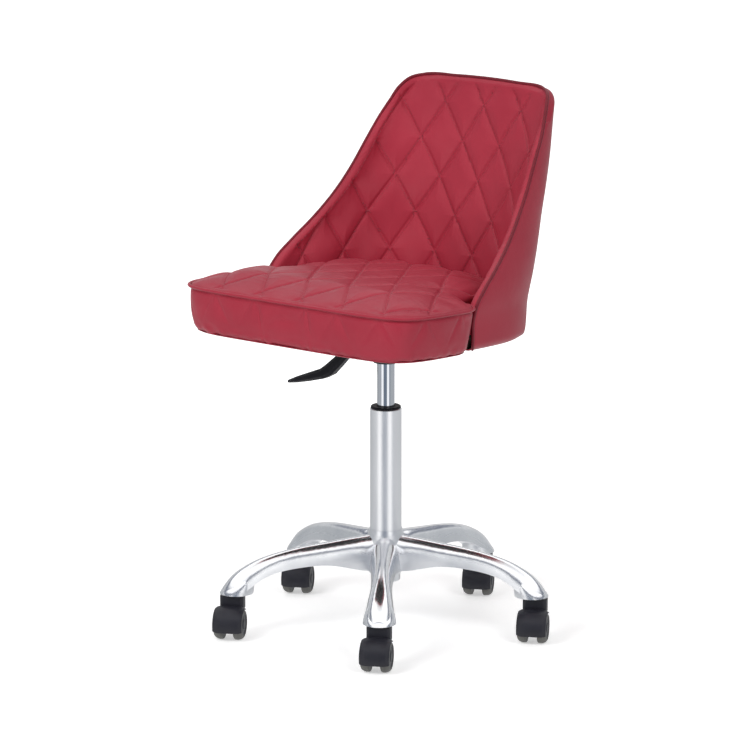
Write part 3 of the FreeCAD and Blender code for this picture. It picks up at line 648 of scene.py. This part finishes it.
def seat_stitches(cushion):
    """Short threads lying in the grooves of the seat's top."""
    tree = BVHTree.FromObject(cushion, bpy.context.evaluated_depsgraph_get())
    cell_x, cell_y, shift_x, shift_y = SEAT_QUILT
    pitch, well_above, margin = 0.005, 0.13, 0.016
    segments = []
    for sign in (1, -1):
        way = np.array([cell_x, -sign * cell_y]) / math.hypot(cell_x, cell_y)
        for k in range(-12, 13):
            through = np.array([shift_x + 2 * k * cell_x, -shift_y])
            for i in range(-140, 140):
                ends = []
                for offset in (0.0009, 0.0041):
                    x, y = through + way * (i * pitch + offset)
                    spot = seat_to_world([(x, y, well_above)])[0]
                    hit = tree.ray_cast(Vector(spot), Vector((0, 0, -1)))
                    if hit[0] is None or hit[1].z < 0.8:
                        break
                    ends.append(np.array(hit[0]) + (0, 0, 0.00005))
                if len(ends) == 2:
                    segments.append(ends)
    kept = []
    for p, q in segments:
        x, y, _ = world_to_seat([p])[0]
        reach = ((abs(x) / (SEAT_HALF_W - margin)) ** SEAT_POWER
                 + (abs(y) / (SEAT_FRONT - margin)) ** SEAT_POWER)
        if reach < 1 and y < 0.10:
            kept.append((p, q))
    verts, faces = capsules(kept, SEAT_THREAD_R)
    obj = new_object("seat_quilting_stitches", verts, faces, THREAD, "seat")


# ---- backrest --------------------------------------------------------------
def back_level(z):
    """Front edge, half width, rear and share of the layer thickness at height z."""
    return np.moveaxis(hermite(BACK_LEVELS[:, 0], BACK_LEVELS[:, 1:], z), -1, 0)


def back_face(t, z, depth=0.0):
    """Point at angle t of the plan curve and height z, some depth inside the outer face."""
    t, z = np.broadcast_arrays(np.asarray(t, float), np.asarray(z, float))
    edge, half, rear, share = back_level(z)
    depth = depth * share
    centre = edge - LIP
    along = rear - depth - centre
    return np.stack([(half - depth) * signed_power(np.cos(t), 2 / BACK_POWER),
                     centre + along * np.abs(np.sin(t)) ** (2 / BACK_POWER), z], axis=-1)


def front_angle(z, setback, power=BACK_POWER):
    """Angle of the plan curve at the backrest's front edge."""
    edge, _, rear, _ = back_level(z)
    return np.arcsin(((LIP + setback) / (rear - edge + LIP)) ** (power / 2))


def pad_growth(t, z):
    """How far the inner face lies outside its plain curve, where the pad thins to its edges."""
    edge, _, rear, share = back_level(z)
    along = rear - PAD_DEPTH * share - edge + LIP
    behind = along * np.abs(np.sin(t)) ** (2 / PAD_POWER) - LIP
    taper = np.minimum(PAD_TAPER, 0.55 * (rear - edge))
    return PAD_THINNING * share * (1 - smooth_step(behind / taper, 0, 1))


def pad_face(t, z):
    """Point on the pad's inner face."""
    t, z = np.broadcast_arrays(np.asarray(t, float), np.asarray(z, float))
    edge, half, rear, share = back_level(z)
    grow = pad_growth(t, z) - PAD_DEPTH * share
    along = rear + grow - edge + LIP
    return np.stack([(half + grow) * signed_power(np.cos(t), 2 / PAD_POWER),
                     edge - LIP + along * np.abs(np.sin(t)) ** (2 / PAD_POWER), z], axis=-1)


def pad_angle(points):
    """The plan-curve angle of points on the pad, as seen from the curve's centre."""
    edge, half, rear, share = back_level(points[:, 2])
    grow = -PAD_DEPTH * share
    for _ in range(4):
        across = signed_power(points[:, 0] / (half + grow), PAD_POWER / 2)
        along = np.maximum((points[:, 1] - edge + LIP) / (rear + grow - edge + LIP), 0)
        t = np.arctan2(along ** (PAD_POWER / 2), across)
        grow = pad_growth(t, points[:, 2]) - PAD_DEPTH * share
    return t


class BackSheet:
    """Flat coordinates of the inner face: the arc from its middle, and the length upwards."""

    def __init__(self):
        self.z = np.linspace(0.47, 0.85, 77)
        self.t = np.linspace(0.02, math.pi - 0.02, 241)
        self.arc = np.array([self.row(z) for z in self.z])
        middle = pad_face(math.pi / 2, self.z)
        up = lengths_along(middle)
        self.up = up - np.interp(0.57, self.z, up)

    def row(self, z):
        line = pad_face(self.t, z)
        run = lengths_along(line)
        return np.interp(math.pi / 2, self.t, run) - run

    def flatten(self, points):
        z = np.clip(points[:, 2], self.z[0], self.z[-1] - 1e-6)
        t = np.clip(pad_angle(points), self.t[0], self.t[-1] - 1e-6)
        i = ((z - self.z[0]) / (self.z[1] - self.z[0])).astype(int)
        j = ((t - self.t[0]) / (self.t[1] - self.t[0])).astype(int)
        a = (z - self.z[i]) / (self.z[1] - self.z[0])
        b = (t - self.t[j]) / (self.t[1] - self.t[0])
        arc = ((1 - a) * ((1 - b) * self.arc[i, j] + b * self.arc[i, j + 1])
               + a * ((1 - b) * self.arc[i + 1, j] + b * self.arc[i + 1, j + 1]))
        return arc, np.interp(z, self.z, self.up)

    def place(self, arc, up):
        """The point of the inner face at one pair of flat coordinates."""
        z = float(np.interp(up, self.up, self.z))
        line = self.row(z)
        t = float(np.interp(-arc, -line, self.t))
        return pad_face(t, z)

    def edge(self, z):
        """Arc from the middle to the front edge at heights z."""
        t = front_angle(z, 0.0, PAD_POWER)
        return self.flatten(pad_face(t, z))[0]


SHEET = BackSheet()


def lean(arc, up):
    """The quilting's columns lean a little as they rise."""
    return arc + BACK_QUILT[3] * up


def outline_top(x, inset=0.0):
    """Height of the backrest's top edge at x, with its rounded corners."""
    half = BACK_TOP_HALF_W - inset
    top = BACK_TOP - inset
    r = BACK_CORNER_R - inset
    x = np.abs(np.asarray(x, float))
    flat = half - r
    crown = top - BACK_TOP_RISE * (np.minimum(x, flat) / flat) ** 2
    turn = r - np.sqrt(np.maximum(r * r - np.clip(x - flat, 0, r) ** 2, 0))
    return crown - turn


def whole_welt(step):
    """The backrest's welt line, from the foot of the right wing over the top to the left."""
    half = np.concatenate([[WELT_FOOT], BACK_WELT])
    return resampled(np.concatenate([half * (-1, 1, 1), half[-2::-1]]), step)


def search_tree(points):
    tree = KDTree(len(points))
    for i, point in enumerate(points):
        tree.insert(point, i)
    tree.balance()
    return tree


def drawn_to(co, line, reach, most):
    """Points close to a line pulled towards it, to close the gap that smoothing leaves there."""
    tree = search_tree(line)
    out = co.copy()
    for i, point in enumerate(co):
        near, _, far = tree.find(point)
        if far < reach:
            pull = most * float(smooth_step(reach - far, 0, reach * 0.6))
            pull = min(pull, max(far - 0.0012, 0.0))
            out[i] += (np.array(near) - point) * (pull / max(far, 1e-9))
    return out


def make_back_pad():
    """Quilted inner pad: its side edges roll over to the welt, and its face swells."""
    pad = remeshed("back_inner_pad", "back_pad_cover", BACK_VOXEL, RED, "seat")
    co, n = vertices(pad), normals(pad)

    def masks(co, n):
        edge = back_level(co[:, 2])[0]
        inward = np.stack([-co[:, 0], -(co[:, 1] - edge) * 0.9 - 0.02, 0 * edge], axis=1)
        inward /= np.linalg.norm(inward, axis=1)[:, None]
        facing = smooth_step((n * inward).sum(1), 0.15, 0.6)
        arc, up = SHEET.flatten(co)
        rim = SHEET.edge(co[:, 2]) - np.abs(arc)
        below_top = outline_top(co[:, 0]) - co[:, 2]
        return facing, arc, up, rim, below_top

    # the side edges roll over softly to the welt, and the top edge stays crisp
    tree = search_tree(whole_welt(0.002))
    from_welt = np.array([tree.find(point)[2] for point in co])
    behind = co[:, 1] - back_level(co[:, 2])[0]
    near = smooth_step(0.034 - behind, 0, 0.012)
    near *= smooth_step(outline_top(co[:, 0]) - co[:, 2], 0.014, 0.034)
    near *= smooth_step(from_welt, 0.003, 0.011) * smooth_step(co[:, 2], 0.510, 0.520)
    rolled = pad.vertex_groups.new(name="rolled")
    for i in np.nonzero(near > 0.01)[0]:
        rolled.add([int(i)], float(near[i]), "REPLACE")
    soften = pad.modifiers.new("Roll", "SMOOTH")
    soften.factor, soften.iterations, soften.vertex_group = 0.5, 16, "rolled"
    bake(pad)
    pad.vertex_groups.clear()
    co, n = vertices(pad), normals(pad)

    facing, _, _, rim, below_top = masks(co, n)
    free = facing * smooth_step(rim, 0.002, 0.022) * smooth_step(below_top, 0.004, 0.030)
    free *= smooth_step(co[:, 2], 0.505, 0.53)
    set_vertices(pad, co - n * (BACK_SHRINK * free)[:, None])
    inflate(pad, BACK_SWELL * free, 40, 2.0)
    subdivide(pad)

    co, n = vertices(pad), normals(pad)
    facing, arc, up, rim, below_top = masks(co, n)
    inner = facing * smooth_step(rim, 0.000, 0.016) * smooth_step(below_top, 0.002, 0.018)
    cell_x, cell_u, start_u, _ = BACK_QUILT
    lines = quilt(lean(arc, up), up - start_u, cell_x, cell_u)
    change = inner * sewn(lines, *BACK_SEWN)
    change += facing * 0.0009 * wave(co, 18.0, 6.4)
    co = co + n * change[:, None]
    set_vertices(pad, drawn_to(co, whole_welt(0.0015), 0.010, 0.0045))
    return pad


def back_stitches(pad):
    """Threads in the back's quilting grooves, and a topstitched row inside its rim."""
    tree = BVHTree.FromObject(pad, bpy.context.evaluated_depsgraph_get())

    def on_pad(arc, up, lift=0.00005):
        spot, normal, _, far = tree.find_nearest(Vector(SHEET.place(arc, up)))
        if spot is None or far > 0.012:
            return None
        return np.array(spot) + np.array(normal) * lift

    cell_x, cell_u, start_u, slope = BACK_QUILT
    segments = []
    for sign in (1, -1):
        for k in range(-9, 10):
            for up in np.arange(-0.05, 0.285, 0.0042):
                ends = []
                for offset in (0.0, 0.0027):
                    u = up + offset
                    arc = 2 * k * cell_x - sign * (u - start_u) * cell_x / cell_u - slope * u
                    z = float(np.interp(u, SHEET.up, SHEET.z))
                    rim = float(SHEET.edge(np.array([z]))[0]) - abs(arc)
                    if rim < PLAIN_RIM:
                        break
                    point = on_pad(arc, u)
                    if point is None or outline_top(point[0]) - point[2] < 0.016 or point[2] < 0.54:
                        break
                    ends.append(point)
                if len(ends) == 2:
                    segments.append(ends)
    verts, faces = capsules(segments, BACK_THREAD_R)
    quilting = new_object("back_quilting_stitches", verts, faces, THREAD, "seat")

    row = []
    for sign in (1, -1):
        for z in np.arange(0.585, 0.790, 0.0048):
            ends = []
            for offset in (0.0, 0.0033):
                height = z + offset
                arc = sign * (float(SHEET.edge(np.array([height]))[0]) - 0.007)
                point = on_pad(arc, float(np.interp(height, SHEET.z, SHEET.up)), 0.0001)
                if point is not None:
                    ends.append(point)
            if len(ends) == 2 and np.linalg.norm(ends[0] - ends[1]) < 0.012:
                row.append(ends)
    verts, faces = capsules(row, TOPSTITCH_R)
    topstitch = new_object("back_rim_topstitch", verts, faces, THREAD, "seat")


def make_back_cover():
    """Smooth outer cover, from the welt round the backrest and under the board's edge."""
    columns, rows, hem, wrap = 221, 96, 14, 12
    middle = rows - hem - wrap
    s = (1 - np.cos(np.linspace(0, math.pi, columns))) / 2
    welt = whole_welt(0.002)
    welt_angle = np.arctan2(welt[:, 0], welt[:, 2] - 0.70)
    points = np.zeros((rows, columns, 3))
    # the heights where the columns meet the top edge
    zs = np.linspace(0.46, 0.85, 200)
    start = front_angle(zs, COVER_SETBACK)
    tops, feet = np.zeros(columns), np.zeros(columns)
    for c, share in enumerate(s):
        column = back_face(start + (math.pi - 2 * start) * share, zs)
        over = column[:, 2] - (outline_top(column[:, 0]) - 0.004)
        tops[c] = float(np.interp(0, over, zs)) if over[-1] > 0 else zs[-1]
        feet[c] = column[0, 1]
    # neighbours share their heights, so that the corner has no step
    tops = np.convolve(np.pad(tops, 4, mode="edge"), np.hanning(11)[1:-1] / 5.0, mode="valid")
    for c, share in enumerate(s):
        bottom = SEAT_Z - 0.05 * feet[c] - 0.001
        heights = bottom + (tops[c] - bottom) * np.linspace(0, 1, middle)
        start = front_angle(heights, COVER_SETBACK)
        ts = start + (math.pi - 2 * start) * share
        line = back_face(ts, heights)
        out = line - back_face(ts, heights, 0.01)
        out[:, 2] = 0
        out /= np.maximum(np.linalg.norm(out, axis=1), 1e-9)[:, None]
        # the lower edge turns in under the board
        radius = 0.009
        below = np.clip(radius - (heights - bottom), 0, radius)
        turn = radius - np.sqrt(np.maximum(radius ** 2 - below ** 2, 0))
        line = line - out * turn[:, None]
        points[hem:hem + middle, c] = line
        for k in range(hem):
            points[hem - 1 - k, c] = line[0] - out[0] * (0.0022 * (k + 1)) + (0, 0, -0.0004)
        # the top rolls forward to the welt
        last, before = line[-1], line[-2]
        turned = math.atan2(last[0], last[2] - 0.70)
        target = np.array([np.interp(turned, welt_angle, welt[:, k]) for k in range(3)])
        rise = (last - before) / np.linalg.norm(last - before)
        reach = np.linalg.norm(target - last)
        bend = last + rise * reach * 0.45
        for k in range(wrap):
            a = (k + 1) / wrap
            rolled = (1 - a) ** 2 * last + 2 * a * (1 - a) * bend + a * a * target
            points[hem + middle + k, c] = rolled
    flat = points.reshape(-1, 3)
    sway = 0.0005 * wave(flat, 16.0, 2.9) * smooth_step(flat[:, 2], 0.49, 0.56)
    near_hem = 1 - smooth_step(flat[:, 2], SEAT_Z - 0.012, SEAT_Z + 0.012)
    hem_fold = near_hem * 0.0009 * wave(flat, 45.0, 6.1)
    centre = flat - (0, 0.06, 0)
    centre[:, 2] = 0
    centre /= np.linalg.norm(centre, axis=1)[:, None]
    flat = flat + centre * (sway + hem_fold)[:, None]
    flat = drawn_to(flat, whole_welt(0.0015), 0.007, 0.004)
    cover = new_object("back_outer_leatherette", flat, grid_faces(rows, columns), RED, "seat")
    wall = cover.modifiers.new("Wall", "SOLIDIFY")
    wall.thickness, wall.offset = 0.0022, 0.0
    bake(cover)
    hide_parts("back_outer_cover", "back_shell")


def make_welts():
    """Welted edges of the seat and of the backrest."""
    verts, faces = tube(welt_line_seat(), WELT_R, 12, 0.05)
    seat_welt = new_object("seat_welt", verts, faces, RED, "seat")
    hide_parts("seat_piping")
    # the backrest's welt takes the darker leatherette: painted shade along the back's edge
    verts, faces = tube(whole_welt(0.0035), WELT_R, 12, 0.05)
    back_welt = new_object("back_welt", verts, faces, RED_WELT_PAINTED_SHADE, "seat")
    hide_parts("back_piping")


# ---- underside of the seat -------------------------------------------------
def make_underside():
    """Leatherette hem stapled under the board, with a stretched dust cover over it."""
    insets = np.linspace(0.0, 0.030, 9)
    loops = []
    for i, inset in enumerate(insets):
        loop = seat_loop(0.0130 + inset, 0.0065 + inset, 0.0070 + inset)
        run = lengths_along(loop)
        fold = 0.0010 * np.abs(np.sin(run * 95 + 3 * np.sin(run * 23))) * smooth_step(i, 0, 6)
        loops.append(np.column_stack([loop, -0.0006 - fold + 0.0018 * (i == 0)]))
    verts = seat_to_world(np.concatenate(loops))
    hem = new_object("seat_hem", verts, grid_faces(len(loops), len(loops[0]), True), RED, "seat")
    wall = hem.modifiers.new("Wall", "SOLIDIFY")
    wall.thickness, wall.offset = 0.0009, 0.0
    bake(hem)

    edge = seat_loop(0.034, 0.027, 0.022)
    outer = resampled(np.vstack([edge, edge[:1]]), 0.006)[:-1]
    angle = np.arctan2(outer[:, 1], outer[:, 0])
    half_x, half_y = 0.082, 0.097
    scale = 1 / np.maximum(np.abs(np.cos(angle)) / half_x, np.abs(np.sin(angle)) / half_y)
    inner = np.stack([np.cos(angle) * scale, np.sin(angle) * scale], axis=1)
    rows = 18
    sheet = []
    for r in range(rows):
        a = r / (rows - 1)
        loop = inner * (1 - a) + outer * a
        sag = 0.0026 * math.sin(math.pi * a) ** 0.8
        ripple = 0.0007 * np.sin(np.arange(len(loop)) * 0.9) * smooth_step(a, 0.7, 1.0)
        sheet.append(np.column_stack([loop, -0.0030 - sag - ripple * (r < rows - 1)]))

    cover = new_object("dust_cover_cloth", seat_to_world(np.concatenate(sheet)),
                       grid_faces(rows, len(outer), True), DUST_CLOTH, "seat")
    wall = cover.modifiers.new("Wall", "SOLIDIFY")
    wall.thickness, wall.offset = 0.0006, 0.0
    bake(cover)
    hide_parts("dust_cover")

    staples = []
    ring = resampled(np.vstack([outer, outer[:1]]) * 0.975, 0.034)
    for p, q in zip(ring[:-1], ring[1:]):
        way = (q - p) / np.linalg.norm(q - p)
        ends = np.array([[*(p - way * 0.005), -0.0042], [*(p + way * 0.005), -0.0042]])
        staples.append(seat_to_world(ends))
    verts, faces = capsules(staples, STAPLE_R)
    row = new_object("dust_cover_staples", verts, faces, ZINC, "seat")


cushion = make_seat_cushion()
pad = make_back_pad()
make_back_cover()
make_welts()
seat_stitches(cushion)
back_stitches(pad)
make_underside()


# ---- stage, light and camera -----------------------------------------------
def make_floor():
    """Flat pale floor: it glows a little for the camera only, and reflections see past it."""
    radii = np.concatenate([np.linspace(0.0, 2.0, 9)[1:], np.linspace(2.5, 40.0, 24)])
    verts, faces = [(0.0, 0.0, 0.0)], []
    for radius in radii:
        for k in range(64):
            a = 2 * math.pi * k / 64
            verts.append((radius * math.cos(a), radius * math.sin(a), 0.0))
    faces.extend((0, 1 + k, 1 + (k + 1) % 64) for k in range(64))
    faces.extend(grid_faces(len(radii), 64, True, 1))
    s = Shader("floor_white")
    tone = s.ramp(s.noise(0.8, 2.0), [(0.0, (0.93, 0.93, 0.93)), (1.0, (0.96, 0.96, 0.96))])
    s.surface({"Base Color": tone, "Roughness": 0.5, "Specular IOR Level": 0.1})
    plain, output = s.tree.nodes["Principled BSDF"], s.tree.nodes["Material Output"]
    path = s.add("ShaderNodeLightPath")
    away = s.add("ShaderNodeVectorMath", {"Vector": s.place()}, operation="LENGTH")
    strength = s.span(away.outputs["Value"], 0.35, 1.7, 0.46, 0.90)
    glow = s.add("ShaderNodeEmission", {
        "Strength": s.math("MULTIPLY", path.outputs["Is Camera Ray"], strength)})
    lit = s.add("ShaderNodeAddShader", {0: plain.outputs[0], 1: glow.outputs[0]})
    through = s.add("ShaderNodeBsdfTransparent")
    shown = s.add("ShaderNodeMixShader", {
        0: path.outputs["Is Glossy Ray"], 1: lit.outputs[0], 2: through.outputs[0]})
    s.tree.links.new(shown.outputs[0], output.inputs["Surface"])
    mesh = bpy.data.meshes.new("floor")
    mesh.from_pydata(verts, [], faces)
    mesh.materials.append(s.material)
    floor = bpy.data.objects.new("floor", mesh)
    scene.collection.objects.link(floor)


def make_world():
    """White studio: soft boxes and grey gaps show only in reflections."""
    world = bpy.data.worlds.new("studio")
    world.use_nodes = True
    scene.world = world
    s = Shader("studio", world.node_tree)
    way = s.add("ShaderNodeTexCoord").outputs["Generated"]
    xyz = s.add("ShaderNodeSeparateXYZ", {"Vector": way})
    turn = s.math("ARCTAN2", xyz.outputs["Y"], xyz.outputs["X"])
    around = s.span(turn, -math.pi, math.pi, 0.0, 1.0)

    def at(degrees):
        return ((degrees + 180.0) % 360.0) / 360.0

    grey, blue, white = (0.50, 0.52, 0.54), (0.20, 0.24, 0.30), (1.25, 1.25, 1.25)
    boxes = s.ramp(around, [
        (at(-180), (0.42, 0.44, 0.46)), (at(-140), grey), (at(-113), (0.45, 0.47, 0.50)),
        (at(-109), white), (at(-84), white), (at(-80), blue), (at(-40), blue), (at(-35), white),
        (at(-10), white), (at(-5), blue), (at(15), grey), (at(75), grey),
        (at(120), (0.7, 0.7, 0.7)), (at(179), (0.42, 0.44, 0.46)),
    ])
    rise = s.ramp(xyz.outputs["Z"], [
        (0.00, (1.0, 1.0, 1.0)), (0.38, (0.95, 0.95, 0.95)), (0.43, (0.10, 0.12, 0.17)),
        (0.53, (0.14, 0.16, 0.21)), (0.58, white), (0.92, (1.2, 1.2, 1.2)),
        (1.0, (0.7, 0.7, 0.7)),
    ])
    upper = s.span(xyz.outputs["Z"], 0.30, 0.42, 0.0, 1.0)
    lower = s.span(xyz.outputs["Z"], -0.28, -0.42, 0.0, 0.9)
    reflected = s.mixed(lower, s.mixed(upper, boxes, rise), (0.95, 0.95, 0.96, 1.0))

    def background(colour, strength):
        return s.add("ShaderNodeBackground", {"Color": colour, "Strength": strength}).outputs[0]

    plain_white = (1.0, 1.0, 1.0, 1.0)
    path = s.add("ShaderNodeLightPath").outputs
    lit = s.add("ShaderNodeMixShader", {
        0: path["Is Glossy Ray"], 1: background(plain_white, 0.30), 2: background(reflected, 1.0)})
    seen = s.add("ShaderNodeMixShader", {
        0: path["Is Camera Ray"], 1: lit.outputs[0], 2: background(plain_white, 1.0)})
    s.add("ShaderNodeOutputWorld", {"Surface": seen.outputs[0]})


def area_light(name, place, target, size, power):
    """Soft square light; the world's map stands for it in reflections."""
    light = bpy.data.lights.new(name, "AREA")
    light.size = size
    light.energy = power
    obj = bpy.data.objects.new(name, light)
    scene.collection.objects.link(obj)
    obj.location = place
    obj.rotation_euler = (Vector(target) - obj.location).to_track_quat("-Z", "Y").to_euler()
    obj.visible_glossy = False


make_floor()
make_world()
area_light("front", (-0.45, -3.45, 2.55), (0, 0, 0.55), 1.8, 74.0)
area_light("side", (3.25, -1.25, 2.55), (0, 0, 0.55), 1.5, 52.0)
area_light("top", (-0.6, 0.0, 3.4), (0, 0, 0.4), 2.0, 14.0)

CAMERA_TARGET = Vector((-0.0134, -0.0106, 0.4053))
CAMERA_TURN, CAMERA_RISE, CAMERA_FAR = math.radians(38.4), 0.2189, 7.0
camera_data = bpy.data.cameras.new("camera")
camera_data.sensor_width = 36.0
camera_data.lens = 213.9
camera_data.clip_end = 200.0
camera = bpy.data.objects.new("camera", camera_data)
scene.collection.objects.link(camera)
back = Vector((math.sin(CAMERA_TURN) * math.cos(CAMERA_RISE),
               -math.cos(CAMERA_TURN) * math.cos(CAMERA_RISE), math.sin(CAMERA_RISE)))
camera.location = CAMERA_TARGET + back * CAMERA_FAR
camera.rotation_euler = (-back).to_track_quat("-Z", "Y").to_euler()
scene.camera = camera
scene.view_settings.view_transform = "Standard"
scene.view_settings.look = "None"
scene.view_settings.exposure = 0.0
